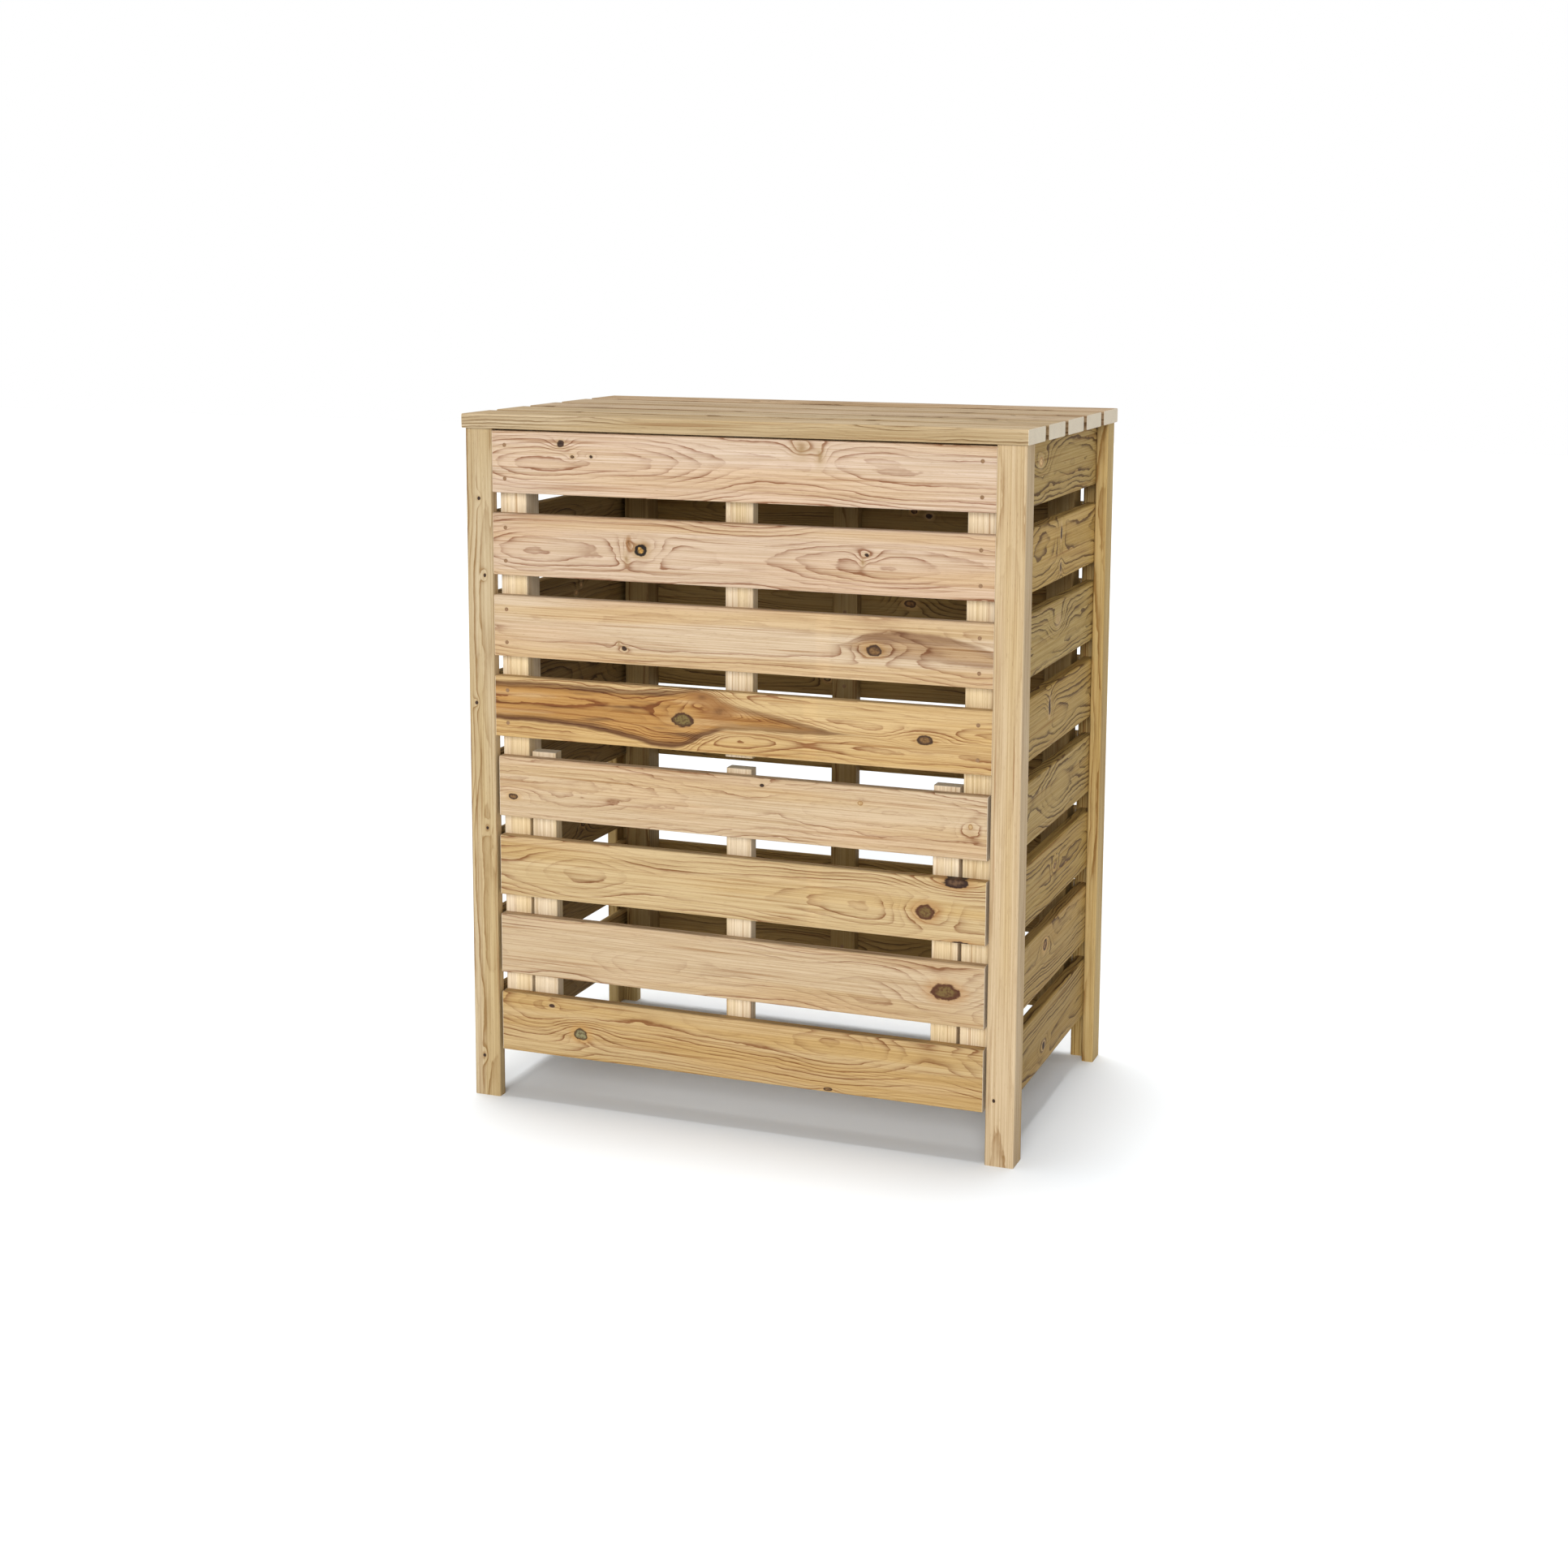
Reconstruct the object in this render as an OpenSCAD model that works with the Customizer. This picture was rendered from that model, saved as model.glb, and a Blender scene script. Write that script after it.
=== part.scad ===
// Slatted wooden composter with a hinged lid and a lift-off front hatch.
// X runs to the right, Y to the back and Z up, in millimetres.
// The origin is on the ground, below the middle of the bin.

/* [Bin] */
// Width of the bin over its corner posts
bin_w = 882; // [600:1:1200]
// Depth of the bin over its corner posts
bin_d = 545; // [400:1:1000]
// Rows of slats on each side
rows = 8; // [6:1:10]
// Rows of slats on the hatch, counted from the bottom
hatch_rows = 4; // [2:1:4]
// Gap from the ground to the lowest slat
ground_gap = 78; // [20:1:120]

/* [Slats] */
// Width of a slat
slat_w = 95; // [70:1:120]
// Thickness of a slat
slat_t = 19; // [14:0.5:24]
// Gap between two rows of slats
slat_gap = 31; // [15:1:45]
// Radius of the rounded long edges of slats, posts and lid boards
arris = 3; // [1:0.5:4]

/* [Corner posts] */
// Outside width of each face of an L-shaped corner post
post_w = 44; // [40:1:60]
// Thickness of the two legs of a corner post
leg_t = 19; // [16:0.5:24]
// Distance that the posts stand proud of the front and back slats
post_proud = 3; // [0.5:0.5:8]

/* [Uprights and battens] */
// Width of an inner upright across the front
upright_w = 44; // [36:1:55]
// Depth of an inner upright from front to back
upright_d = 44; // [36:1:55]
// Gap between the edge of a corner post and an inner upright
upright_gap = 3; // [1:0.5:6]
// Width of the centre battens
batten_w = 44; // [34:1:60]
// Thickness of the centre battens
batten_t = 22; // [18:0.5:28]
// Distance that a batten runs past the last slat beside the hatch gap
batten_tail = 7; // [0:0.5:10]
// Radius of the rounded long edges of uprights and battens
small_arris = 2; // [0.5:0.5:3]

/* [Hatch] */
// Gap between the end of a hatch slat and a corner post
hatch_end_gap = 5; // [2:0.5:8]
// Width of a hatch batten
hatch_batten_w = 40; // [30:1:50]
// Gap between an outer hatch batten and an inner upright
hatch_side_gap = 5; // [2:0.5:10]
// Height of the sill rail that the hatch stands on
sill_h = 44; // [30:1:60]
// Distance that the sill and the uprights stay above the lowest slat's lower edge
foot_set_up = 4; // [1:1:15]

/* [Lid] */
// Number of lid boards
lid_boards = 5; // [4:1:5]
// Width of a lid board
lid_board_w = 95; // [80:1:100]
// Thickness of a lid board
lid_board_t = 22; // [18:0.5:28]
// Overhang of the lid past the posts at the front and at the back
lid_overhang_y = 6; // [6:0.5:15]
// Overhang of the lid past the posts at each side
lid_overhang_x = 3; // [1:0.5:15]
// Width of a lid batten
lid_batten_w = 44; // [34:1:60]
// Thickness of a lid batten
lid_batten_t = 22; // [18:0.5:28]
// Distance from each end of the lid to the middle of its batten
lid_batten_x = 229; // [200:1:270]
// Gap between the end of a lid batten and the slats in front of it and behind it
lid_batten_gap = 8; // [4:0.5:20]

/* [Hinges] */
// Length of a hinge along its pin
hinge_l = 76; // [50:1:80]
// Width of one hinge leaf, from the pin to its far edge
hinge_leaf_w = 38; // [28:1:45]
// Thickness of a hinge leaf
hinge_leaf_t = 2; // [1.5:0.25:2.5]
// Outside radius of a hinge knuckle
knuckle_r = 4; // [3.5:0.25:4.5]
// Radius of a hinge pin
hinge_pin_r = 2; // [1.5:0.25:2.5]
// Distance from the middle of a hinge to the outside of the nearer post
hinge_inset = 130; // [100:1:150]

/* [Fixings] */
// Length of a nail under its head
nail_l = 38; // [30:1:39]
// Radius of a nail shank
nail_r = 1.4; // [1:0.1:2]
// Radius of a nail head
nail_head_r = 3; // [2.5:0.25:4]
// Wood left in front of the tip of a nail that is driven into a post
nail_cover = 6; // [3:0.5:10]
// Distance from a slat's long edge to its nails and screws
fixing_edge = 22; // [15:1:30]
// Distance from the outer face of an upright to its nails
upright_nail_x = 18; // [12:1:22]
// Radius of a panel screw's shank
panel_screw_r = 2.5; // [2:0.25:3]
// Length of a panel screw
panel_screw_l = 85; // [78:1:88]
// Drop from the middle of a slat to its panel screw
panel_screw_drop = 12; // [8:1:15]
// Length of a lid screw, driven up through a batten into a board
lid_screw_l = 38; // [30:1:40]
// Length of a hinge screw
hinge_screw_l = 16; // [12:1:18]
// Radius of a lid or hinge screw's shank
screw_r = 2; // [1.5:0.1:2.2]

/* [Hidden] */
// Running clearances of the hinge, and the gap between its lid leaf and the slat below
knuckle_gap = 0.3;
pin_clearance = 0.05;
leaf_clearance = 0.5;
// Distance that a nail or screw head stands out of the wood
head_proud = 0.4;
nail_head_t = 1;
hinge_knuckles = 5;
hinge_screws = 3;
corner_round = 4;
smooth = 32;

// Heights
pitch = slat_w + slat_gap;
top_gap = hinge_leaf_t + leaf_clearance;
stack_h = rows * slat_w + (rows - 1) * slat_gap;
stack_top = ground_gap + stack_h;
post_h = stack_top + top_gap;
frame_bottom = ground_gap + foot_set_up;
sill_top = frame_bottom + sill_h;
fixed_rows = rows - hatch_rows;
hatch_top = stack_top - fixed_rows * pitch;
fixed_bottom = hatch_top + slat_gap;

// Places across the bin, measured from its middle
half_w = bin_w / 2;
half_d = bin_d / 2;
leg_edge_x = half_w - post_w;
upright_out_x = leg_edge_x - upright_gap;
upright_in_x = upright_out_x - upright_w;
nail_x = upright_out_x - upright_nail_x;
side_out_x = half_w - leg_t;
side_in_x = side_out_x - slat_t;
hatch_end_x = leg_edge_x - hatch_end_gap;
hatch_batten_out_x = upright_in_x - hatch_side_gap;
hatch_batten_mid_x = hatch_batten_out_x - hatch_batten_w / 2;

// Places from front to back, for the back; the front is their mirror image
side_end_y = half_d - leg_t;
slat_out_y = half_d - post_proud;
slat_in_y = slat_out_y - slat_t;
upright_in_y = slat_in_y - upright_d;
batten_in_y = slat_in_y - batten_t;

// Lid
lid_l = bin_w + 2 * lid_overhang_x;
lid_d = bin_d + 2 * lid_overhang_y;
lid_gap = (lid_d - lid_boards * lid_board_w) / (lid_boards - 1);
lid_batten_end_y = slat_in_y - lid_batten_gap;
lid_batten_mid_x = lid_l / 2 - lid_batten_x;

// Hinge axis, behind the back slats and below the lid
hinge_y = slat_out_y + knuckle_r + knuckle_gap;
hinge_z = post_h - knuckle_r - knuckle_gap;
hinge_x = half_w - hinge_inset;
knuckle_l = hinge_l / hinge_knuckles;
hinge_screw_pitch = hinge_l / (hinge_screws + 0.4);
leaf_screw_inset = hinge_leaf_w * 0.62;

function row_bottom(i) = stack_top - (i - 1) * pitch - slat_w;
function row_middle(i) = row_bottom(i) + slat_w / 2;
function board_front(i) = -lid_d / 2 + (i - 1) * (lid_board_w + lid_gap);

PANEL_SCREW_ROWS = [1, floor((rows + 1) / 2), rows - 1];
CORNERS = [["front_left", -1, -1], ["front_right", 1, -1], ["back_left", -1, 1], ["back_right", 1, 1]];

// Wood colours, as the treated pine shows them
front_wood = [0.85, 0.74, 0.58];
side_wood = [0.62, 0.54, 0.35];
frame_wood = [0.82, 0.72, 0.55];
lid_wood = [0.84, 0.75, 0.60];
zinc = [0.70, 0.70, 0.68];

// Rectangle from the origin to (a, b) with its four corners rounded
module rounded_rect(a, b, r) {
    translate([r, 0]) square([a - 2 * r, b]);
    translate([0, r]) square([a, b - 2 * r]);
    for (x = [r, a - r], y = [r, b - r])
        translate([x, y]) circle(r = r, $fn = smooth);
}

// Bars with rounded long edges, from a low corner to a high corner
module bar_x(low, high, r) {
    translate(low) rotate([90, 0, 90])
        linear_extrude(high[0] - low[0]) rounded_rect(high[1] - low[1], high[2] - low[2], r);
}

module bar_y(low, high, r) {
    translate([low[0], high[1], low[2]]) rotate([90, 0, 0])
        linear_extrude(high[1] - low[1]) rounded_rect(high[0] - low[0], high[2] - low[2], r);
}

module bar_z(low, high, r) {
    translate(low)
        linear_extrude(high[2] - low[2]) rounded_rect(high[0] - low[0], high[1] - low[1], r);
}

// Turns what is drawn for the back right corner to the corner with these signs
module at_corner(sx, sy) {
    mirror([sx < 0 ? 1 : 0, 0, 0]) mirror([0, sy < 0 ? 1 : 0, 0]) children();
}

// Corner post: two legs that meet in an L, open towards the inside of the bin
module post(sx, sy) {
    color(frame_wood) at_corner(sx, sy)
        linear_extrude(post_h) union() {
            translate([leg_edge_x, half_d - leg_t]) rounded_rect(post_w, leg_t, arris);
            translate([half_w - leg_t, half_d - post_w]) rounded_rect(leg_t, post_w, arris);
        }
}

// Inner upright behind the ends of the front or back slats
module upright(sx, sy) {
    color(frame_wood) at_corner(sx, sy)
        bar_z([upright_in_x, upright_in_y, frame_bottom], [upright_out_x, slat_in_y, stack_top], small_arris);
}

// Slat that runs across the front, half its length and its row given
module cross_slat(half_l, i) {
    bar_x([-half_l, -slat_out_y, row_bottom(i)], [half_l, -slat_in_y, row_bottom(i) + slat_w], arris);
}

module front_slat(i) {
    color(front_wood) cross_slat(leg_edge_x, i);
}

module back_slat(i) {
    color(side_wood) mirror([0, 1, 0]) cross_slat(leg_edge_x, i);
}

// Slat that runs front to back, in the notches of two corner posts
module right_slat(i) {
    color(side_wood)
        bar_y([side_in_x, -side_end_y, row_bottom(i)], [side_out_x, side_end_y, row_bottom(i) + slat_w], arris);
}

module left_slat(i) {
    mirror([1, 0, 0]) right_slat(i);
}

module front_centre_batten() {
    color(frame_wood)
        bar_z([-batten_w / 2, -slat_in_y, fixed_bottom - batten_tail],
              [batten_w / 2, -batten_in_y, stack_top], small_arris);
}

module back_centre_batten() {
    color(frame_wood)
        bar_z([-batten_w / 2, batten_in_y, frame_bottom], [batten_w / 2, slat_in_y, stack_top], small_arris);
}

// Rail between the front uprights, behind the lowest hatch slat
module hatch_sill() {
    color(frame_wood)
        bar_x([-upright_in_x, -slat_in_y, frame_bottom], [upright_in_x, -upright_in_y, sill_top], small_arris);
}

// Hatch: the lowest rows of the front, on three battens that stand on the sill
module hatch_slat(i) {
    color(front_wood) cross_slat(hatch_end_x, fixed_rows + i);
}

module hatch_batten(mid_x) {
    color(frame_wood)
        bar_z([mid_x - hatch_batten_w / 2, -slat_in_y, sill_top],
              [mid_x + hatch_batten_w / 2, -batten_in_y, hatch_top + batten_tail], small_arris);
}

// Lid: boards along the bin on two battens that drop inside it
module lid_board(i) {
    color(lid_wood)
        bar_x([-lid_l / 2, board_front(i), post_h],
              [lid_l / 2, board_front(i) + lid_board_w, post_h + lid_board_t], arris);
}

module lid_batten(sx) {
    color(lid_wood) translate([sx * lid_batten_mid_x, 0, 0])
        bar_y([-lid_batten_w / 2, -lid_batten_end_y, post_h - lid_batten_t],
              [lid_batten_w / 2, lid_batten_end_y, post_h], small_arris);
}

// Places its children at the left and right hinge, with the origin on the pin's axis
module at_hinges() {
    for (sx = [-1, 1])
        translate([sx * hinge_x, hinge_y, hinge_z]) children();
}

// Rod along X, centred on the pin's axis
module rod_x(r, from_x, to_x) {
    translate([from_x, 0, 0]) rotate([0, 90, 0]) cylinder(r = r, h = to_x - from_x, $fn = smooth);
}

// Knuckle k of a hinge, swollen by grow for the room that it needs
module knuckle(k, grow) {
    start = -hinge_l / 2 + (k - 1) * knuckle_l;
    rod_x(knuckle_r + grow, start + (knuckle_gap / 2 - grow), start + knuckle_l - (knuckle_gap / 2 - grow));
}

// Knuckles of one leaf, the odd ones or the even ones
module knuckles(first, grow) {
    for (k = [first : 2 : hinge_knuckles]) knuckle(k, grow);
}

// Screw along -Z from the origin, with a flat countersunk head
module countersunk(r, l, grow) {
    translate([0, 0, -r]) cylinder(r1 = r + grow, r2 = 2 * r + grow, h = r, $fn = smooth);
    translate([0, 0, -l]) cylinder(r = r + grow, h = l, $fn = smooth);
}

// Children at each screw of a leaf that lies in XY, its pin at the origin and its leaf towards -Y
module at_leaf_screws() {
    for (i = [1 : hinge_screws])
        translate([(i - (hinge_screws + 1) / 2) * hinge_screw_pitch, -leaf_screw_inset, 0]) children();
}

// Plate of one leaf in XY, its outer face at the top and its two free corners rounded
module leaf_plate() {
    difference() {
        translate([-hinge_l / 2, -hinge_leaf_w, 0]) linear_extrude(hinge_leaf_t) union() {
            translate([corner_round, 0]) square([hinge_l - 2 * corner_round, hinge_leaf_w]);
            translate([0, corner_round]) square([hinge_l, hinge_leaf_w - corner_round]);
            for (x = [corner_round, hinge_l - corner_round])
                translate([x, corner_round]) circle(r = corner_round, $fn = smooth);
        }
        at_leaf_screws() translate([0, 0, hinge_leaf_t]) countersunk(screw_r, 3 * hinge_leaf_t, 0.1);
    }
}

// Turns a leaf's plate, drawn face up, to the place where each leaf is screwed down
module to_back_slat() {
    rotate([-90, 0, 0]) mirror([0, 1, 0]) translate([0, 0, -knuckle_r - knuckle_gap]) children();
}

module to_lid() {
    translate([0, 0, knuckle_r + knuckle_gap]) mirror([0, 0, 1]) children();
}

// Leaf with its knuckles from `first` on, cut clear of the other leaf's knuckles and bored for the pin
module leaf(first) {
    difference() {
        union() {
            children();
            knuckles(first, 0);
        }
        knuckles(3 - first, knuckle_gap);
        rod_x(hinge_pin_r + pin_clearance, -hinge_l, hinge_l);
    }
}

module hinge_leaves_bin() {
    color(zinc) at_hinges() leaf(1) to_back_slat() leaf_plate();
}

module hinge_leaves_lid() {
    color(zinc) at_hinges() leaf(2) to_lid() leaf_plate();
}

// Pins with a riveted head at each end
module hinge_pins() {
    color(zinc) at_hinges() {
        rod_x(hinge_pin_r, -hinge_l / 2 - 1, hinge_l / 2 + 1);
        for (s = [-1, 1])
            rod_x(hinge_pin_r + 1, s * (hinge_l / 2 + 0.6) - 0.5, s * (hinge_l / 2 + 0.6) + 0.5);
    }
}

// Nail along -Z from the face at the origin, its head standing out a little
module nail(l) {
    translate([0, 0, head_proud - nail_head_t]) cylinder(r = nail_head_r, h = nail_head_t, $fn = smooth);
    translate([0, 0, -l]) cylinder(r = nail_r, h = l - nail_head_t / 2, $fn = smooth);
}

// Turns what points along -Z into the wood so that it points along +Y, -Y, +X or -X
module into_back() {
    rotate([90, 0, 0]) children();
}

module into_front() {
    rotate([-90, 0, 0]) children();
}

module into_right() {
    rotate([0, -90, 0]) children();
}

module into_left() {
    rotate([0, 90, 0]) children();
}

// The two nail heights of a slat in row i
function nail_heights(i) = [row_bottom(i) + fixing_edge, row_bottom(i) + slat_w - fixing_edge];

// Nails from outside into the uprights, and from inside through the side slats into the posts
module bin_nails() {
    color(zinc) {
        for (i = [1 : fixed_rows], z = nail_heights(i)) {
            for (sx = [-1, 1]) translate([sx * nail_x, -slat_out_y, z]) into_back() nail(nail_l);
            translate([0, -batten_in_y, z]) into_front() nail(nail_l);
        }
        for (i = [1 : rows], z = nail_heights(i)) {
            for (sx = [-1, 1]) translate([sx * nail_x, slat_out_y, z]) into_front() nail(nail_l);
            translate([0, batten_in_y, z]) into_back() nail(nail_l);
        }
        for (i = [1 : rows], c = CORNERS) at_corner(c[1], c[2])
            translate([side_in_x, (side_end_y + half_d - post_w) / 2, row_middle(i)])
                into_right() nail(slat_t + leg_t - nail_cover);
    }
}

module hatch_nails() {
    color(zinc)
        for (i = [1 : hatch_rows], x = [-hatch_batten_mid_x, 0, hatch_batten_mid_x])
            for (z = nail_heights(fixed_rows + i))
                if (z > sill_top + nail_head_r)
                    translate([x, -batten_in_y, z]) into_front() nail(nail_l);
}

// Panel screws from the inside of an upright into the side slat and the post behind it,
// and one from the outside of each front upright into the end of the sill
module bin_screws() {
    color(zinc) {
        for (c = CORNERS) at_corner(c[1], c[2]) for (i = PANEL_SCREW_ROWS)
            translate([upright_in_x - head_proud, slat_in_y - slat_t / 2, row_middle(i) - panel_screw_drop])
                into_right() countersunk(panel_screw_r, panel_screw_l, 0);
        for (sx = [-1, 1]) at_corner(sx, -1)
            translate([upright_out_x + head_proud, slat_in_y - upright_d / 2, (frame_bottom + sill_top) / 2])
                into_left() countersunk(panel_screw_r, panel_screw_l, 0);
        at_hinges() to_back_slat() at_leaf_screws()
            translate([0, 0, hinge_leaf_t]) countersunk(screw_r, hinge_screw_l, 0);
    }
}

module lid_screws() {
    color(zinc) {
        for (i = [1 : lid_boards], sx = [-1, 1], side = [-1, 1])
            translate([sx * (lid_batten_mid_x + side * lid_batten_w / 4),
                       lid_screw_y(i, side), post_h - lid_batten_t - head_proud])
                mirror([0, 0, 1]) countersunk(screw_r, lid_screw_l, 0);
        at_hinges() to_lid() at_leaf_screws()
            translate([0, 0, hinge_leaf_t]) countersunk(screw_r, hinge_screw_l, 0);
    }
}

// A board's two screws in a batten are staggered and stay on the batten's length
function lid_screw_y(i, side) =
    let (y = board_front(i) + lid_board_w / 2 + side * (lid_board_w / 2 - fixing_edge) / 2)
    min(lid_batten_end_y - 12, max(12 - lid_batten_end_y, y));

for (c = CORNERS) post(c[1], c[2]);
for (c = CORNERS) upright(c[1], c[2]);
for (i = [1 : fixed_rows]) front_slat(i);
for (i = [1 : rows]) left_slat(i);
for (i = [1 : rows]) right_slat(i);
for (i = [1 : rows]) back_slat(i);
front_centre_batten();
back_centre_batten();
hatch_sill();
for (i = [1 : hatch_rows]) hatch_slat(i);
hatch_batten(-hatch_batten_mid_x);  // hatch_batten_left
hatch_batten(0);  // hatch_batten_centre
hatch_batten(hatch_batten_mid_x);  // hatch_batten_right
for (i = [1 : lid_boards]) lid_board(i);
lid_batten(-1);  // lid_batten_left
lid_batten(1);  // lid_batten_right
hinge_leaves_bin();
hinge_leaves_lid();
hinge_pins();
bin_nails();
hatch_nails();
bin_screws();
lid_screws();
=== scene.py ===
"""Slatted garden composter: treated pine on L-section posts, with a hinged lid and a loose front hatch.

Lengths are in metres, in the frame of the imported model: X right, Y back, Z up, origin on the ground.
"""
import math
import zlib

import bpy
import numpy as np
from mathutils import Matrix, Vector


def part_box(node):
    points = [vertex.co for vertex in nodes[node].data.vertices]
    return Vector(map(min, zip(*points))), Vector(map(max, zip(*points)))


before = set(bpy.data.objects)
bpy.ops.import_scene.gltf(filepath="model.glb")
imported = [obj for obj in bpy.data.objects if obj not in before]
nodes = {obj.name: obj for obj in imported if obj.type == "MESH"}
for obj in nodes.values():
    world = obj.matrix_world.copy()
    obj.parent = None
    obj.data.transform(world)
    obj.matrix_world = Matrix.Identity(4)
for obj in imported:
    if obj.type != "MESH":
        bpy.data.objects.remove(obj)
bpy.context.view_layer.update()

# The photograph's view. Its frame is square, the sensor is the usual 36 mm, and the angles are yaw,
# pitch and roll in degrees.
FRAME_PX = 1932
FOCAL_PX = 2897.8
SENSOR_MM = 36.0
SHIFT_Y = -0.10
CAMERA_PLACE = (1.2790, -3.4582, 1.3023)
CAMERA_ANGLES = (20.629, 8.719, 0.252)

WHITE = (1.0, 1.0, 1.0, 1.0)
FLOOR_HALF = 14.0
FLOOR_PAINT = (0.91, 0.94, 0.965, 1.0)
# Each light's energy, spread in degrees and direction of travel
LIGHTS = {
    "top_light": (2.45, 24.0, (0.07, -0.095, -1.0)),
    "front_light": (2.2, 30.0, (-0.195, 0.919, -0.342)),
}
EVEN_LIGHT = 0.30


def photo_camera():
    """Camera of the photograph's view. Its forward direction is turned by yaw from +Y towards -X
    and dropped by pitch, and roll turns it about that direction."""
    yaw, pitch, roll = (math.radians(a) for a in CAMERA_ANGLES)
    ahead = Vector((-math.sin(yaw), math.cos(yaw), 0.0))
    forward = ahead * math.cos(pitch) - Vector((0.0, 0.0, math.sin(pitch)))
    level = Vector((math.cos(yaw), math.sin(yaw), 0.0))
    upright = level.cross(forward)
    right = level * math.cos(roll) + upright * math.sin(roll)
    up = upright * math.cos(roll) - level * math.sin(roll)
    data = bpy.data.cameras.new("photo_camera")
    data.sensor_width = SENSOR_MM
    data.lens = FOCAL_PX * SENSOR_MM / FRAME_PX
    data.shift_y = SHIFT_Y
    camera = bpy.data.objects.new("photo_camera", data)
    turn = Matrix((right, up, -forward)).transposed().to_4x4()
    camera.matrix_world = Matrix.Translation(CAMERA_PLACE) @ turn
    bpy.context.scene.collection.objects.link(camera)
    bpy.context.scene.camera = camera


def linear(colour):
    """Linear RGBA of an 8-bit sRGB colour: c/12.92 below 0.04045, else ((c+0.055)/1.055)^2.4."""
    c = np.array(colour, float) / 255
    c = np.where(c <= 0.04045, c / 12.92, ((c + 0.055) / 1.055) ** 2.4)
    return (*c.tolist(), 1.0)


class Finish:
    """A material's node tree, with one short call for each kind of node it uses."""

    def __init__(self, name):
        self.material = bpy.data.materials.new(name)
        self.material.use_nodes = True
        self.tree = self.material.node_tree
        self.shader = self.tree.nodes["Principled BSDF"]

    def feed(self, socket, value):
        if isinstance(value, bpy.types.NodeSocket):
            self.tree.links.new(value, socket)
        else:
            socket.default_value = value

    def node(self, kind, inputs, **settings):
        made = self.tree.nodes.new("ShaderNode" + kind)
        for key, value in settings.items():
            setattr(made, key, value)
        for slot, value in inputs.items():
            self.feed(made.inputs[slot], value)
        return made

    def surface(self, colour, roughness, height, strength, distance):
        """Feeds the shader its colour, roughness and a bump of this height."""
        bump = self.node("Bump", {"Strength": strength, "Distance": distance, "Height": height})
        self.feed(self.shader.inputs["Base Color"], colour)
        self.feed(self.shader.inputs["Roughness"], roughness)
        self.feed(self.shader.inputs["Normal"], bump.outputs["Normal"])

    def math(self, operation, *values, clamp=False):
        made = self.node("Math", dict(enumerate(values)), operation=operation, use_clamp=clamp)
        return made.outputs[0]

    def vector(self, operation, *values):
        made = self.node("VectorMath", dict(enumerate(values)), operation=operation)
        return made.outputs["Value" if operation == "LENGTH" else "Vector"]

    def ramp(self, value, low, high, to_low=0.0, to_high=1.0):
        """Smooth step of value from low to high, mapped to to_low and to_high."""
        ends = {0: value, 1: low, 2: high, 3: to_low, 4: to_high}
        return self.node("MapRange", ends, interpolation_type="SMOOTHSTEP").outputs[0]

    def mix(self, share, a, b, blend="MIX"):
        return self.node("Mix", {0: share, 6: a, 7: b}, data_type="RGBA", blend_type=blend).outputs[2]

    def tint(self, share, colour, factors):
        """Colour multiplied by factors, by this share."""
        return self.mix(share, colour, (*factors, 1.0), "MULTIPLY")

    def noise(self, place, detail=2.0, roughness=0.5):
        inputs = {"Vector": place, "Scale": 1.0, "Detail": detail, "Roughness": roughness}
        return self.node("TexNoise", inputs)

    def curve(self, value, points):
        """Value through a smooth curve on 0 to 1 with these points."""
        made = self.node("FloatCurve", {"Value": value})
        line = made.mapping.curves[0]
        line.points[0].location, line.points[1].location = points[0], points[-1]
        for x, y in points[1:-1]:
            line.points.new(x, y)
        made.mapping.update()
        return made.outputs[0]


# The pine's looks. `seen` is its colour as the photograph shows it, and `light` how strongly the studio
# lights such faces, by which colours are divided. The others multiply the ground colour: `lines` in
# the summer wood, `heart` and `gold` in the clouds and bands.
LOOKS = {
    "front": dict(seen=(205, 183, 152), light=1.22, lines=(0.46, 0.30, 0.23),
                  heart=(1.00, 0.92, 0.86), gold=(0.94, 0.84, 0.60)),
    "frame": dict(seen=(196, 174, 140), light=1.17, lines=(0.58, 0.46, 0.32),
                  heart=(0.96, 0.92, 0.82), gold=(0.90, 0.84, 0.64)),
    "side": dict(seen=(156, 132, 80), light=0.88, lines=(0.30, 0.23, 0.17),
                 heart=(1.04, 0.98, 0.92), gold=(0.94, 0.90, 0.70)),
    "lid": dict(seen=(195, 174, 146), light=1.26, lines=(0.46, 0.37, 0.27),
                heart=(0.76, 0.70, 0.58), gold=(0.94, 0.88, 0.74)),
}
# No base colour goes above BRIGHTEST, and LIFT makes up for what lines and fibre take from the ground.
BRIGHTEST = 0.9
LIFT = 1.20
# Multipliers of the fibre, the veins and the flecks, of the painted shade along a lid board's edge, of
# the painted shade on the face that looks into the bin and of a stacking stick's mark
FIBRE = (0.74, 0.67, 0.56)
VEIN = (0.66, 0.52, 0.40)
FLECK = (0.48, 0.38, 0.30)
EDGE_SHADE = (0.50, 0.42, 0.32)
INNER_FACE_SHADE = (0.66, 0.62, 0.56)
STICK = (1.16, 1.15, 1.13)
END_GRAIN = (226, 214, 192)
# A point nearer than this to an end, an edge or a face counts as on it.
SKIN = 0.0004
# How far noise moves a point along and across its board, for knots and flames
SWAY = Vector((0.008, 0.006, 0))
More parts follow.
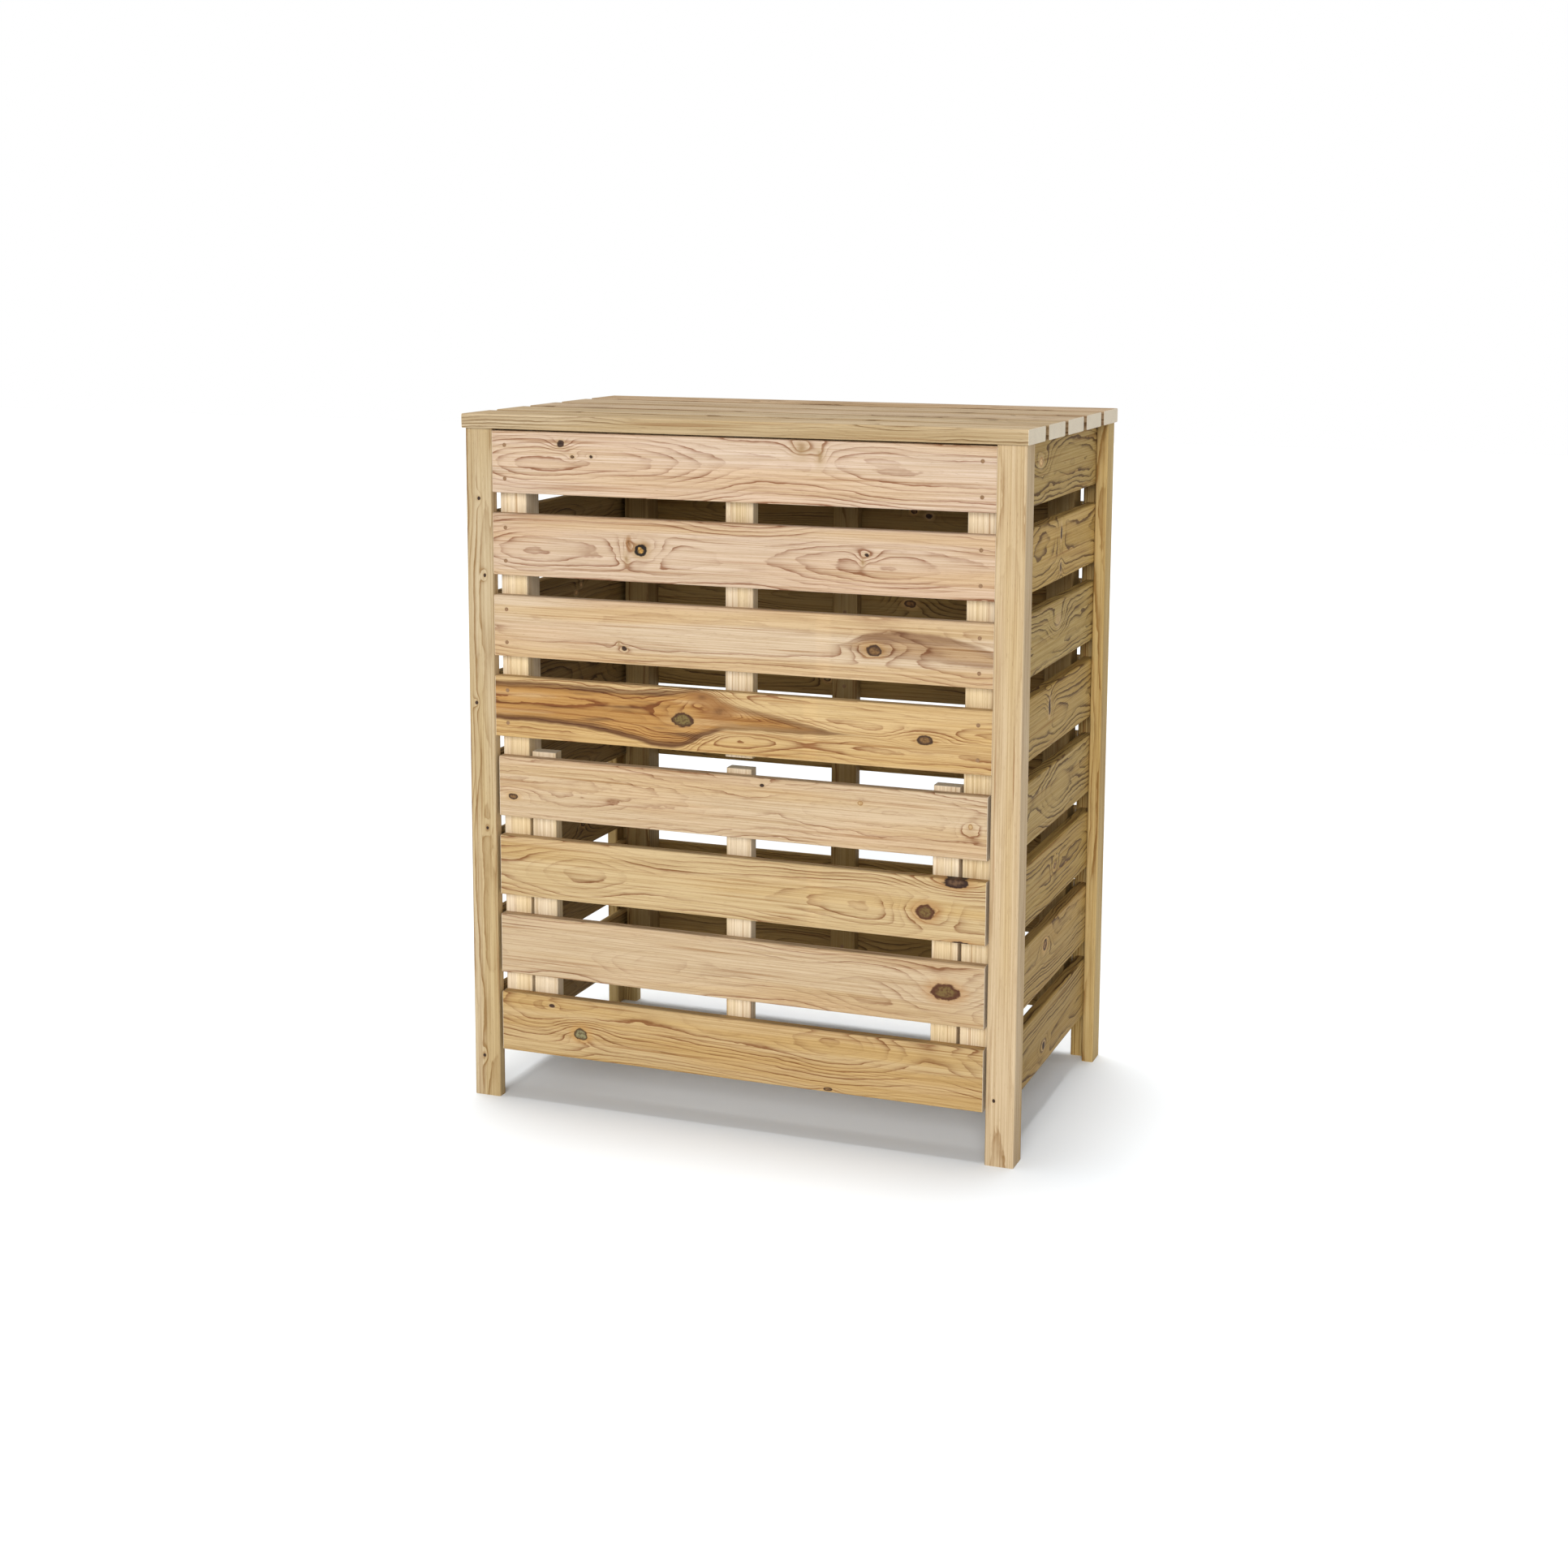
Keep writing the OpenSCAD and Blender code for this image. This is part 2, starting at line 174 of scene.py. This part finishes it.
# Core, rim and halo colours of a knot, the halo's share, and where the rim starts and is full
KNOTS = {
    "olive": ((126, 108, 62), (72, 42, 26), (196, 154, 96), 0.50, 0.50, 0.90),
    "eye": ((118, 94, 52), (84, 46, 26), (184, 136, 82), 0.55, 0.42, 0.82),
    "ringed": ((134, 98, 58), (64, 42, 28), (194, 154, 98), 0.50, 0.40, 0.84),
    "gilt": ((208, 158, 82), (20, 14, 12), (182, 148, 100), 0.60, 0.34, 0.56),
    "dot": ((40, 26, 22), (74, 50, 36), (188, 158, 116), 0.50, 0.40, 0.90),
    "bark": ((104, 76, 54), (44, 22, 18), (176, 128, 76), 0.60, 0.30, 0.85),
    "sage": ((142, 136, 98), (76, 54, 34), (196, 148, 82), 0.60, 0.55, 0.92),
    "pale": ((206, 174, 124), (166, 124, 78), (206, 178, 134), 0.35, 0.40, 0.90),
    "stain": ((160, 126, 82), (172, 140, 96), (190, 160, 118), 0.35, 0.30, 0.90),
    "crotch": ((116, 76, 42), (138, 92, 52), (160, 112, 64), 0.70, 0.20, 0.90),
}
# Length, width and outward axes of a board, by how it runs. The outward one's sign is pine's `out`.
RUN = {"across": (0, 2, 1), "deep": (1, 2, 0), "up": (2, 0, 1), "lid": (0, 1, 2), "lid_deep": (1, 0, 2)}


class Board(Finish):
    """Finish in a board's own coordinates, from its middle: u along it, v across its face, w outward."""

    def __init__(self, name, look, run, out, shift):
        super().__init__("pine_" + name)
        self.look, self.shift = look, shift
        low, high = (np.array(c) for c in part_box(name))
        axes = RUN[run]
        self.half = [float((high - low)[axis] / 2) for axis in axes]
        place = self.node("TexCoord", {}).outputs["Object"]
        centred = self.vector("SUBTRACT", place, Vector((low + high) / 2))
        parts = self.node("SeparateXYZ", {0: centred}).outputs
        self.u, self.v = parts[axes[0]], parts[axes[1]]
        self.w = self.math("MULTIPLY", parts[axes[2]], float(out))
        self.place = self.node("CombineXYZ", {0: self.u, 1: self.v, 2: self.w}).outputs[0]

    def paint(self, colour, factors=1.0):
        """Base colour that the studio's light turns into this seen colour, times factors."""
        base = np.array(linear(colour)[:3]) / LOOKS[self.look]["light"] * factors
        return (*np.minimum(base, BRIGHTEST).tolist(), 1.0)

    def grain(self, along, around, detail, roughness=0.5, output="Fac"):
        """Noise with these rates along the board and around it."""
        scaled = self.vector("MULTIPLY", self.place, Vector((along, around, around)))
        return self.noise(self.vector("ADD", scaled, self.shift), detail, roughness).outputs[output]

    def drift(self, rate, offset, mean, amplitude):
        """Slow change along the board, from a one-dimensional noise."""
        phase = self.math("MULTIPLY_ADD", self.u, rate, float(self.shift[0]) + offset)
        noise = self.node("TexNoise", {"W": phase, "Scale": 1.0, "Detail": 1.0}, noise_dimensions="1D")
        return self.math("MULTIPLY_ADD", noise.outputs["Fac"], 2 * amplitude, mean - amplitude)

    def pith_distance(self, pith, taper, swing, wave):
        """Distance from the pith line, with taper and waves, and the offset from it across the face."""
        off_v = self.math("SUBTRACT", self.v, self.drift(2.0, 31.0, pith[0], 0.014))
        off_w = self.math("SUBTRACT", self.w, self.drift(2.8, 77.0, pith[1], swing))
        ring = self.vector("LENGTH", self.node("CombineXYZ", {1: off_v, 2: off_w}).outputs[0])
        ring = self.math("MULTIPLY_ADD", self.u, float(taper), ring)
        ring = self.math("MULTIPLY_ADD", self.grain(6.0, 24.0, 2.0), 0.010 * wave, ring)
        ring = self.math("MULTIPLY_ADD", self.grain(38.0, 130.0, 2.0), 0.0026 * wave, ring)
        return ring, off_v

    def bend_round_knots(self, knots, bent, ring, near):
        """Adds each knot's bump to the ring distance and to the lines' strength. Also gives how far a
        point is from each knot, in the knot's radii, with its kind."""
        uneven = self.math("MULTIPLY_ADD", self.grain(150.0, 190.0, 2.0), 0.5, -0.25)
        reaches = []
        for ku, kv, ru, rv, kind, spread in knots:
            gap = self.vector("SUBTRACT", bent, Vector((ku, kv, 0)))
            away = self.vector("LENGTH", self.vector("MULTIPLY", gap, Vector((1 / ru, 1 / rv, 0))))
            swirl = self.vector("LENGTH", self.vector("MULTIPLY", gap, Vector((0.62 / ru, 1 / rv, 0))))
            power = self.math("MULTIPLY", self.math("MULTIPLY", swirl, swirl), -1.0 / spread**2)
            bell = self.math("EXPONENT", power)
            ring = self.math("MULTIPLY_ADD", bell, 0.9 * spread * min(ru, rv), ring)
            near = self.math("MULTIPLY_ADD", bell, 2.4 if kind == "crotch" else 1.3, near)
            reaches.append((self.math("ADD", away, uneven), kind))
        return ring, near, reaches

    def bend_along_flame(self, flame, bent, ring):
        """Depth inside the flame's outline, and the ring distance that follows it."""
        along = self.math("MULTIPLY_ADD", self.u, 0.5 / self.half[0], 0.5)
        middle = self.math("MULTIPLY_ADD", self.curve(along, flame["middle"]), 0.1, -0.05)
        reach = self.math("MULTIPLY", self.curve(along, flame["reach"]), 0.06)
        across = self.node("SeparateXYZ", {0: bent}).outputs[1]
        off = self.math("ABSOLUTE", self.math("SUBTRACT", across, middle))
        depth = self.math("SUBTRACT", reach, off)
        follow = self.ramp(depth, -0.02, 0.03, -0.02, 0.03)
        return self.math("MULTIPLY_ADD", follow, flame["follow"], ring), depth

    def ring_lines(self, ring, off_v, pitch):
        """Strength of the summer wood. It rises slowly and ends sharply in each ring, is faint where the
        rings lie flat in the face, and differs from ring to ring and from patch to patch."""
        count = self.math("DIVIDE", ring, float(pitch))
        part = self.math("FRACT", count)
        line = self.math("MULTIPLY", self.math("POWER", part, 3.6), self.ramp(part, 0.91, 1.0, 1.0, 0.0))
        steep = self.math("DIVIDE", self.math("ABSOLUTE", off_v), ring)
        line = self.math("MULTIPLY", line, self.ramp(steep, 0.0, 0.30, 0.55, 1.25))
        number = self.math("FLOOR", count)
        each = self.node("TexWhiteNoise", {"W": number}, noise_dimensions="1D").outputs["Value"]
        line = self.math("MULTIPLY", line, self.ramp(each, 0.0, 1.0, 0.22, 1.25))
        return self.math("MULTIPLY", line, self.ramp(self.grain(5.0, 38.0, 2.0), 0.36, 0.62, 0.18, 1.25))

    def flame_paint(self, flame, depth, bands, colour):
        """Heartwood over the colour, mottled, with a dark edge. Also gives its share at a point."""
        streak = self.math("MULTIPLY", self.ramp(depth, -0.002, flame["soft"]), flame["share"])
        patch = self.grain(5.0, 46.0, 3.0, 0.6)
        dark = self.paint(flame["edge"])
        inside = self.mix(self.ramp(patch, 0.52, 0.70, 0.0, 0.85), self.paint(flame["inside"]), dark)
        inside = self.mix(self.ramp(patch, 0.46, 0.30, 0.0, 0.90), inside, self.paint(flame["pale"]))
        colour = self.mix(streak, colour, inside)
        inner_side = self.ramp(depth, 0.004, 0.014, 1.0, 0.0)
        edge = self.math("MULTIPLY", self.ramp(depth, -0.002, 0.003), inner_side)
        edge = self.math("MULTIPLY", edge, self.ramp(bands, 0.34, 0.56, 0.45, 1.0))
        return self.mix(self.math("MULTIPLY", edge, flame["share"]), colour, dark), streak

    def knot_paint(self, reaches, colour):
        """A halo, a mottled core and a rim for each knot. Stains and crotches have soft edges."""
        mottle = self.grain(230.0, 260.0, 2.0)
        for away, kind in reaches:
            core_seen, rim_seen, halo_seen, halo, rim_from, rim_full = KNOTS[kind]
            rim = self.paint(rim_seen)
            colour = self.mix(self.ramp(away, 0.9, 2.2, halo, 0.0), colour, self.paint(halo_seen))
            core = self.mix(self.ramp(mottle, 0.42, 0.66, 0.0, 0.7), self.paint(core_seen), rim)
            core = self.mix(self.ramp(away, rim_from, rim_full), core, rim)
            fade_from, share = (0.0, 0.75) if kind in ("stain", "crotch") else (0.90, 0.97)
            colour = self.mix(self.ramp(away, fade_from, 1.10, share, 0.0), colour, core)
        return colour


def pine(name, look, run, out=1, seen=None, pith=None, taper=None, pitch=None, swing=None, wave=1.0,
         knots=(), flame=None, contrast=1.0, heart=0.7, gold=0.55, stick=None, edge_shade=0.0):
    """Planed pine as a solid. Rings are distances from a pith line that runs along the board behind its
    face and sways with the length, plus a taper and fine waves, so a face shows nested arches and an
    edge shows straight lines. A knot adds a bell-shaped bump to the distance, so rings close round it.
    A flame is a streak of heartwood given by its middle and half width along the board. `stick` is the
    place of a pale mark that a stacking stick left across the board, and a share of painted shade
    darkens its long edges, for the shade in the gaps between lid boards.
    On the side and back slats, painted shade darkens the face that looks into the bin."""
    rng = np.random.default_rng(zlib.crc32(name.encode()))
    side_shift = rng.uniform(-0.03, 0.03)
    pith = pith or (side_shift, -rng.uniform(0.022, 0.06))
    taper = rng.uniform(0.004, 0.02) * rng.choice([-1, 1]) if taper is None else taper
    pitch = pitch or rng.uniform(0.0034, 0.0050)
    swing = swing or rng.uniform(0.016, 0.030)
    shift = Vector(rng.uniform(-40, 40, 3))
    tones = LOOKS[look]
    tone = np.array(seen or tones["seen"]) * rng.uniform(0.975, 1.025)
    tone = tone * (1 if seen else rng.uniform(0.99, 1.01, 3))

    f = Board(name, look, run, out, shift)
    ring, off_v = f.pith_distance(pith, taper, swing, wave)
    bent = f.vector("MULTIPLY_ADD", f.grain(26.0, 55.0, 2.0, output="Color"), SWAY, f.place)
    bent = f.vector("SUBTRACT", bent, SWAY / 2)
    near, reaches = contrast, []
    if knots:
        ring, near, reaches = f.bend_round_knots(knots, bent, ring, near)
    if flame:
        ring, depth = f.bend_along_flame(flame, bent, ring)
    line = f.ring_lines(ring, off_v, pitch)
    cloud = f.grain(2.0, 15.0, 3.0)
    bands = f.grain(1.3, 26.0, 2.0)
    vein = f.grain(3.0, 190.0, 2.0, 0.6)
    fibre = f.grain(4.0, 520.0, 4.0, 0.68)
    fleck = f.grain(80.0, 1700.0, 1.0)

    heart_paint, gold_paint = (f.paint(tone, LIFT * np.array(tones[key])) for key in ("heart", "gold"))
    colour = f.mix(f.ramp(cloud, 0.42, 0.66, 0.0, heart), f.paint(tone, LIFT), heart_paint)
    colour = f.mix(f.ramp(bands, 0.46, 0.62, 0.0, gold), colour, gold_paint)
    if flame:
        colour, streak = f.flame_paint(flame, depth, bands, colour)
        near = f.math("MULTIPLY_ADD", streak, 0.9, near)
    colour = f.tint(f.math("MULTIPLY", line, near, clamp=True), colour, tones["lines"])
    colour = f.tint(f.ramp(fibre, 0.36, 0.66, 0.0, 0.85), colour, FIBRE)
    colour = f.tint(f.ramp(vein, 0.57, 0.71, 0.0, 0.80), colour, VEIN)
    colour = f.tint(f.ramp(fleck, 0.64, 0.78, 0.0, 0.55), colour, FLECK)
    half_u, half_v, half_w = f.half
    # Painted shade along the long edges, standing in for the shade in the gaps between lid boards
    if edge_shade:
        wear_and_painted_shade = f.ramp(f.math("ABSOLUTE", f.v), half_v - 0.0022, half_v - SKIN, 0.0, edge_shade)
        colour = f.tint(wear_and_painted_shade, colour, EDGE_SHADE)
    # Painted shade on the face that looks into the bin
    if look == "side":
        colour = f.tint(f.math("LESS_THAN", f.w, SKIN - half_w), colour, INNER_FACE_SHADE)
    if stick:
        from_stick = f.math("ABSOLUTE", f.math("SUBTRACT", f.u, stick))
        colour = f.tint(f.ramp(from_stick, 0.006, 0.016, 0.35, 0.0), colour, STICK)
    if reaches:
        colour = f.knot_paint(reaches, colour)
    at_end = f.math("GREATER_THAN", f.math("ABSOLUTE", f.u), half_u - SKIN)
    end_paint = f.paint(END_GRAIN, tones["light"] / (1.5 if look == "frame" else 0.95))
    colour = f.mix(f.math("MULTIPLY", at_end, 0.75), colour, end_paint)

    height = f.math("ADD", f.math("MULTIPLY", line, -0.4), f.math("MULTIPLY", fibre, -0.9))
    f.surface(colour, f.ramp(fibre, 0.3, 0.7, 0.62, 0.80), height, 0.4, 0.0006)
    f.shader.inputs["Specular IOR Level"].default_value = 0.22
    return f.material


def coated_steel(name, colour, metal, rough):
    """Dull steel with a coat that noise mottles."""
    f = Finish(name)
    place = f.node("TexCoord", {}).outputs["Object"]
    scaled = f.node("VectorMath", {0: place, "Scale": 260.0}, operation="SCALE").outputs["Vector"]
    mottle = f.noise(scaled, 3.0).outputs["Fac"]
    wear_and_painted_shade = tuple(c * 0.55 for c in linear(colour)[:3]) + (1.0,)
    coat = f.mix(f.ramp(mottle, 0.35, 0.7, 0.0, 0.4), linear(colour), wear_and_painted_shade)
    f.surface(coat, f.ramp(mottle, 0.3, 0.7, rough - 0.1, rough + 0.12), mottle, 0.2, 0.0002)
    f.shader.inputs["Metallic"].default_value = metal
    return f.material


def wear(name, material):
    nodes[name].data.materials.clear()
    nodes[name].data.materials.append(material)


def stray_knots(name, run, most):
    """Up to `most` small knots at places that depend only on the board's name."""
    rng = np.random.default_rng(zlib.crc32(("knots" + name).encode()))
    low, high = (np.array(c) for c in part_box(name))
    half = (high - low) / 2
    found = []
    for _ in range(rng.integers(0, most + 1)):
        r = rng.uniform(0.003, 0.008)
        kind = rng.choice(["ringed", "olive"] if r > 0.005 else ["dot", "pale", "ringed"])
        found.append((
            rng.uniform(-0.85, 0.85) * half[RUN[run][0]], rng.uniform(-0.6, 0.6) * half[RUN[run][1]],
            r * rng.uniform(1.0, 1.6), r, str(kind), rng.uniform(2.0, 3.2),
        ))
    return found


# A flame's middle and half width are points of curves along the slat, from its left end to its right:
# 0 to 1 stands for -0.05 to 0.05 across it for the middle, and for 0 to 0.06 for the reach.
FLAME_BY_KNOT = dict(
    middle=[(0, 0.5), (0.7, 0.52), (0.82, 0.58), (1, 0.44)],
    reach=[(0, 0.0), (0.68, 0.0), (0.78, 0.30), (0.88, 0.34), (1, 0.20)],
    inside=(196, 161, 119), edge=(146, 108, 76), pale=(208, 176, 136),
    soft=0.012, share=0.85, follow=0.3)
FLAME_OF_HEARTWOOD = dict(
    middle=[(0, 0.6), (0.18, 0.59), (0.29, 0.525), (0.37, 0.5), (0.44, 0.61), (0.5, 0.60), (0.57, 0.555),
            (0.64, 0.5), (1, 0.46)],
    reach=[(0, 0.52), (0.18, 0.55), (0.29, 0.64), (0.37, 0.75), (0.44, 0.57), (0.5, 0.32), (0.57, 0.24),
           (0.64, 0.13), (0.75, 0.0), (1, 0.0)],
    inside=(198, 148, 82), edge=(106, 66, 36), pale=(208, 168, 116),
    soft=0.010, share=0.92, follow=1.0)

# The front's slats, top to bottom, as the photograph shows them. A knot is (along, across, its two
# radii, kind, how far it bends the rings in radii), measured from the middle of its slat.
# Their colours darken from the top slat to the bottom one: partly each board's own tone and partly
# painted shade, for the light that falls off lower down the front.
FRONT_SLATS = {
    "front_slat_1": dict(
        seen=(212, 190, 168), pith=(0.006, -0.028), taper=0.006, pitch=0.0046, gold=0.4, contrast=1.15,
        knots=[
            (-0.281, 0.030, 0.0056, 0.0050, "dot", 2.4), (-0.263, 0.012, 0.0032, 0.0026, "ringed", 2.4),
            (-0.232, 0.012, 0.0030, 0.0024, "dot", 2.4), (0.104, 0.034, 0.0120, 0.0120, "stain", 1.1),
            (0.132, 0.024, 0.0060, 0.0120, "stain", 1.5)]),
    "front_slat_2": dict(
        seen=(209, 185, 160), pith=(-0.004, -0.026), taper=-0.006, pitch=0.0046, gold=0.55,
        contrast=1.15,
        knots=[
            (-0.150, 0.001, 0.0105, 0.0088, "gilt", 2.6), (0.206, 0.010, 0.0034, 0.0028, "dot", 3.6),
            (-0.170, 0.011, 0.0032, 0.0066, "crotch", 1.6),
            (-0.174, -0.013, 0.0040, 0.0095, "stain", 1.6),
            (0.199, -0.001, 0.0026, 0.0070, "stain", 1.6)]),
    "front_slat_3": dict(
        seen=(203, 181, 153), pith=(0.018, -0.050), pitch=0.0052, contrast=0.7, heart=0.9, gold=0.6,
        stick=0.140, flame=FLAME_BY_KNOT,
        knots=[
            (0.218, -0.002, 0.0125, 0.0085, "ringed", 1.7), (-0.177, -0.023, 0.0042, 0.0032, "dot", 2.0),
            (-0.186, -0.016, 0.0026, 0.0040, "stain", 1.6)]),
    "front_slat_4": dict(
        seen=(206, 177, 129), pith=(-0.010, -0.040), taper=0.004, pitch=0.0048, contrast=1.2, heart=0.3,
        gold=0.5, stick=0.120, flame=FLAME_OF_HEARTWOOD,
        knots=[
            (-0.083, 0.000, 0.0175, 0.0105, "olive", 2.3),
            (0.296, -0.002, 0.0125, 0.0075, "ringed", 2.4),
            (-0.024, 0.018, 0.0170, 0.0110, "crotch", 2.2),
            (-0.052, 0.036, 0.0150, 0.0060, "crotch", 2.0)]),
    "hatch_slat_1": dict(
        seen=(199, 176, 145), pith=(0.004, -0.024), pitch=0.0044, contrast=0.8, wave=2.0, gold=0.4,
        knots=[
            (-0.369, -0.015, 0.0080, 0.0046, "ringed", 2.6), (0.045, 0.037, 0.0036, 0.0028, "dot", 2.0),
            (0.200, 0.022, 0.0040, 0.0030, "pale", 3.6), (0.367, 0.002, 0.0036, 0.0040, "pale", 3.8)]),
    "hatch_slat_2": dict(
        seen=(202, 177, 134), pith=(-0.004, -0.036), taper=0.006, pitch=0.0042, contrast=1.2, wave=0.8,
        heart=0.6, gold=0.6, stick=0.128,
        knots=[
            (0.301, -0.005, 0.0145, 0.0118, "eye", 2.3), (0.346, 0.043, 0.0190, 0.0085, "bark", 1.8),
            (0.353, -0.049, 0.0150, 0.0050, "bark", 1.8)]),
    "hatch_slat_3": dict(
        seen=(198, 175, 143), pith=(-0.012, -0.032), taper=-0.004, pitch=0.0046, contrast=0.75, gold=0.4,
        knots=[(0.333, 0.003, 0.0215, 0.0125, "eye", 2.4)]),
    "hatch_slat_4": dict(
        seen=(190, 164, 120), pith=(0.034, -0.036), taper=0.006, pitch=0.0042, contrast=1.4, heart=0.5,
        gold=0.7,
        knots=[
            (-0.256, -0.006, 0.0115, 0.0095, "sage", 2.6), (-0.306, 0.033, 0.0044, 0.0028, "dot", 2.0),
            (0.152, -0.043, 0.0070, 0.0034, "ringed", 2.0)]),
}
# The right side's slats, top to bottom
RIGHT_SLATS = {
    "right_slat_1": dict(
        contrast=2.2, pitch=0.0046, wave=1.4, knots=[(-0.120, 0.014, 0.0110, 0.0070, "pale", 3.0)]),
    "right_slat_2": dict(
        seen=(162, 135, 81), contrast=1.9, pitch=0.0046,
        knots=[(0.011, 0.023, 0.0050, 0.0100, "dot", 2.6), (0.013, -0.030, 0.0040, 0.0070, "dot", 2.6)]),
    "right_slat_3": dict(
        contrast=2.1, pitch=0.0042, wave=1.3, knots=[(0.004, 0.016, 0.0120, 0.0090, "stain", 3.0)]),
    "right_slat_4": dict(
        seen=(152, 127, 76), contrast=1.9, pitch=0.0050,
        knots=[(-0.039, 0.015, 0.0055, 0.0120, "dot", 2.6)]),
    "right_slat_5": dict(seen=(152, 128, 78), contrast=2.2, pitch=0.0044, wave=1.3),
    "right_slat_6": dict(
        seen=(150, 125, 72), contrast=2.0, pitch=0.0046,
        knots=[(0.015, 0.007, 0.0060, 0.0050, "ringed", 2.8)]),
    "right_slat_7": dict(
        seen=(148, 123, 74), contrast=2.2, pitch=0.0044, wave=1.3,
        knots=[(-0.034, 0.020, 0.0110, 0.0080, "ringed", 2.6)]),
    "right_slat_8": dict(
        seen=(146, 121, 72), contrast=2.0, pitch=0.0048,
        knots=[(-0.030, -0.016, 0.0080, 0.0060, "dot", 2.4)]),
}
# The lid's one knot that the photograph shows. Its other boards get stray ones.
LID_KNOTS = {"lid_board_2": [(0.340, 0.025, 0.0085, 0.0060, "dot", 2.4)]}
# Small knots on the corner posts, as (height, width) from the middle of the post
POST_MARKS = {
    "post_front_left": [
        (0.422, 0.000), (0.303, 0.0075), (0.104, -0.0087), (-0.093, 0.0064), (-0.464, -0.0046)],
    "post_front_right": [(-0.428, -0.0093)],
}
# Seen colours of the boards that have no entry of their own
LEFT_SEEN = (166, 142, 96)
BACK_SEEN = (162, 137, 88)
# The battens and uprights behind the front slats get a brighter colour, which paints light into their
# recess, and those at the back a darker one, which paints the shade inside the bin.
INNER_FRONT_PAINTED_LIGHT = (230, 213, 186)
INNER_BACK_PAINTED_SHADE = (158, 134, 90)
BACK_POST_SEEN = (187, 161, 109)
# The front lid board starts in front of this Y. Its long edge is in plain light and gets no painted
# shade.
LID_FRONT_Y = -0.27


def upright_look(name):
    """Look of a post, upright or batten, whose rings are close and nearly straight."""
    seen, contrast = None, 1.5
    # Painted light on the inner front pieces, painted shade on the inner back ones
    if name.startswith(("upright_front", "front_", "hatch_")):
        seen, contrast = INNER_FRONT_PAINTED_LIGHT, 0.5
    elif name.startswith(("upright_back", "back_")):
        seen = INNER_BACK_PAINTED_SHADE
    elif name.startswith("post_back"):
        seen = BACK_POST_SEEN
    marks = [(z, x, 0.0030, 0.0024, "dot", 2.2) for z, x in POST_MARKS.get(name, ())]
    return dict(
        seen=seen, contrast=contrast, knots=marks, pitch=0.0036, taper=0.002, wave=0.6, swing=0.006)


def dress_boards():
    """Gives every wooden node its own pine."""
    for name in nodes:
        if name in FRONT_SLATS:
            wear(name, pine(name, "front", "across", -1, **FRONT_SLATS[name]))
        elif name in RIGHT_SLATS:
            wear(name, pine(name, "side", "deep", 1, **RIGHT_SLATS[name]))
        elif name.startswith("left_slat"):
            knots = stray_knots(name, "deep", 2)
            wear(name, pine(name, "side", "deep", -1, seen=LEFT_SEEN, contrast=1.1, knots=knots))
        elif name.startswith("back_slat"):
            knots = stray_knots(name, "across", 3)
            wear(name, pine(name, "side", "across", 1, seen=BACK_SEEN, knots=knots))
        elif name.startswith("lid_board"):
            knots = LID_KNOTS.get(name) or stray_knots(name, "lid", 2)
            # Every lid board but the front one gets painted shade along its long edges
            edge_shade = 0.0 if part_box(name)[0][1] < LID_FRONT_Y else 0.85
            wear(name, pine(name, "lid", "lid", 1, contrast=1.5, heart=0.95, edge_shade=edge_shade, knots=knots))
        elif name.startswith("lid_batten"):
            wear(name, pine(name, "lid", "lid_deep", -1))
        elif name == "hatch_sill":
            wear(name, pine(name, "frame", "across", -1))
        elif name.startswith(("post", "upright")) or "batten" in name:
            wear(name, pine(name, "frame", "up", -1, **upright_look(name)))


def dress_metal():
    """Nails weather brown in treated pine, the hinges stay grey and their screws are brighter."""
    nail = coated_steel("nail_steel", (140, 106, 72), 0.0, 0.7)
    zinc = coated_steel("hinge_zinc", (138, 138, 135), 0.8, 0.50)
    bright = coated_steel("screw_zinc", (204, 200, 188), 0.7, 0.40)
    for name in ("bin_nails", "hatch_nails"):
        wear(name, nail)
    for name in ("hinge_leaves_bin", "hinge_leaves_lid", "hinge_pins"):
        wear(name, zinc)
    for name in ("bin_screws", "lid_screws"):
        wear(name, bright)


def pale_floor():
    s = FLOOR_HALF
    mesh = bpy.data.meshes.new("studio_floor")
    mesh.from_pydata([(-s, -s, 0), (s, -s, 0), (s, s, 0), (-s, s, 0)], [], [(0, 1, 2, 3)])
    floor = bpy.data.objects.new("studio_floor", mesh)
    bpy.context.scene.collection.objects.link(floor)
    paint = Finish("studio_paint")
    paint.shader.inputs["Base Color"].default_value = FLOOR_PAINT
    paint.shader.inputs["Roughness"].default_value = 1.0
    paint.shader.inputs["Specular IOR Level"].default_value = 0.0
    mesh.materials.append(paint.material)


def soft_lights():
    """A soft light from above, a low one from the front and even light from all round, in front of
    which the camera sees plain white."""
    for name, (energy, spread, travel) in LIGHTS.items():
        light = bpy.data.lights.new(name, "SUN")
        light.energy = energy
        light.angle = math.radians(spread)
        lamp = bpy.data.objects.new(name, light)
        lamp.rotation_mode = "QUATERNION"
        lamp.rotation_quaternion = Vector(travel).to_track_quat("-Z", "Y")
        bpy.context.scene.collection.objects.link(lamp)

    world = bpy.data.worlds.new("studio_world")
    world.use_nodes = True
    bpy.context.scene.world = world
    tree = world.node_tree
    sky = tree.nodes["Background"]
    white = tree.nodes.new("ShaderNodeBackground")
    for background, strength in ((sky, EVEN_LIGHT), (white, 1.0)):
        background.inputs["Color"].default_value = WHITE
        background.inputs["Strength"].default_value = strength
    path = tree.nodes.new("ShaderNodeLightPath")
    pick = tree.nodes.new("ShaderNodeMixShader")
    tree.links.new(path.outputs["Is Camera Ray"], pick.inputs[0])
    tree.links.new(sky.outputs[0], pick.inputs[1])
    tree.links.new(white.outputs[0], pick.inputs[2])
    tree.links.new(pick.outputs[0], tree.nodes["World Output"].inputs["Surface"])
    bpy.context.scene.view_settings.view_transform = "Standard"


photo_camera()
pale_floor()
soft_lights()
dress_boards()
dress_metal()
